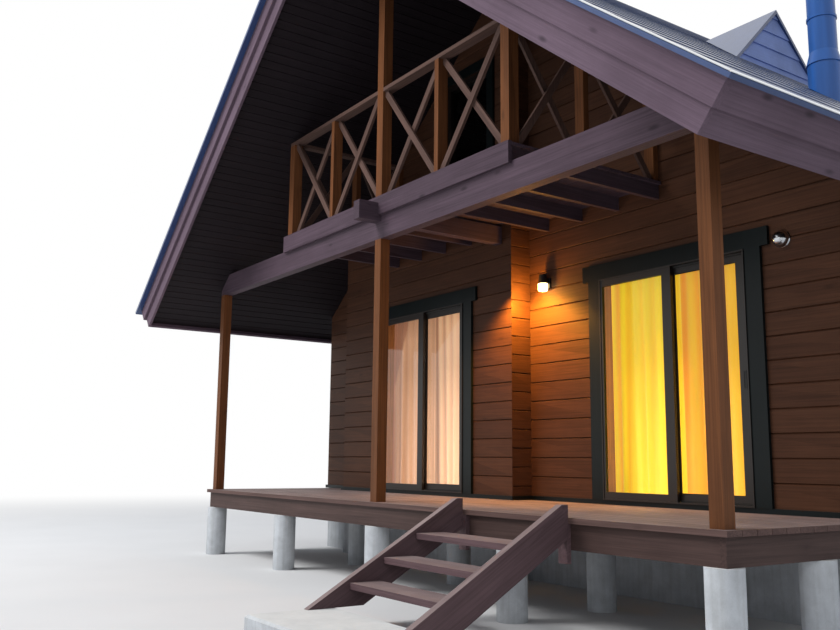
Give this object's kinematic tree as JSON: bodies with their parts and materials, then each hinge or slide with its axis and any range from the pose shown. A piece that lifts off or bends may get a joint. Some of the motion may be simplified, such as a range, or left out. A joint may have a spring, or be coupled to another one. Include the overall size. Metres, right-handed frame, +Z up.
{
  "type": "log_cabin",
  "caption": "Timber log cabin with a steep gable roof, a railed balcony inside the gable, a full-width front deck with an open stair, and sliding terrace doors.",
  "frame": {"origin": "On the ground under the middle front pier, below the ridge and on the centre line of the front posts.", "axes": "X runs to the right along the front, Y runs from the deck into the house, Z is up."},
  "size_m": [9.4362, 11.595, 7.29],
  "materials": {
    "cast_concrete": "pale cast concrete, smooth, with stains near the ground",
    "dark_green_paint": "dark green semi-gloss paint",
    "floor_boards": "oiled pine boards",
    "stained_logs": "square logs in a warm brown stain, matt",
    "bronze_frame": "dark bronze anodised, satin",
    "clear_glass": "clear float glass",
    "curtain_cloth": "woven curtain cloth in loose pleats",
    "deck_timber": "weathered brown deck stain",
    "fascia_timber": "grey-brown stained board",
    "porch_timber": "warm brown stained timber",
    "beam_timber": "planed timber in a thin mauve-brown stain, knots showing",
    "soffit_boards": "narrow stained boards",
    "roof_sheet": "stepped steel roof sheets, blue-grey coil coating, satin",
    "drip_metal": "folded sheet metal, dark semi-gloss",
    "lap_siding": "lapped boards, faded blue-grey paint",
    "flue_metal": "dark heat-proof paint on sheet steel",
    "polished_steel": "polished stainless steel",
    "lamp_black": "black powder coat"
  },
  "bodies": {
    "house": {"back_wall": "stained_logs", "balcony_floor": "beam_timber", "balcony_joists": "beam_timber", "base_sill": "dark_green_paint", "concrete_footings": "cast_concrete", "curtain_rails": "bronze_frame", "curtains": "curtain_cloth", "deck_boards": "deck_timber", "deck_fascia": "fascia_timber", "deck_joists": "deck_timber", "door_heads_and_thresholds": "bronze_frame", "door_jambs": "bronze_frame", "dormer_roof": "roof_sheet", "dormer_wall": "lap_siding", "fascia_boards_lower": "fascia_timber", "fascia_boards_upper": "fascia_timber", "fixed_panes": "clear_glass", "fixed_sashes": "bronze_frame", "floors": "floor_boards", "flue": "flue_metal", "foundation": "cast_concrete", "front_walls_beside_doors": "stained_logs", "front_walls_over_doors": "stained_logs", "header_beam": "beam_timber", "opening_trims": "dark_green_paint", "posts": "porch_timber", "rail_braces_inner": "porch_timber", "rail_braces_outer": "porch_timber", "ridge_cap": "drip_metal", "rim_board": "beam_timber", "roof_covering": "roof_sheet", "roof_slopes": "soffit_boards", "side_walls": "stained_logs", "stair_stringers": "porch_timber", "stair_treads": "porch_timber", "top_rails": "porch_timber", "vent_hood": "polished_steel", "wall_lamp": "lamp_black", "window_frames": "bronze_frame", "window_glass": "clear_glass"},
    "left_door_leaf": {"left_leaf": "bronze_frame", "left_leaf_glass": "clear_glass"},
    "right_door_leaf": {"right_leaf": "bronze_frame", "right_leaf_glass": "clear_glass"}
  },
  "joints": [
    {"name": "left_slide", "type": "slide", "parent": "house", "child": "left_door_leaf", "axis": [-1, 0, 0], "range_m": [0, 0.7]},
    {"name": "right_slide", "type": "slide", "parent": "house", "child": "right_door_leaf", "axis": [-1, 0, 0], "range_m": [0, 0.7]}
  ]
}
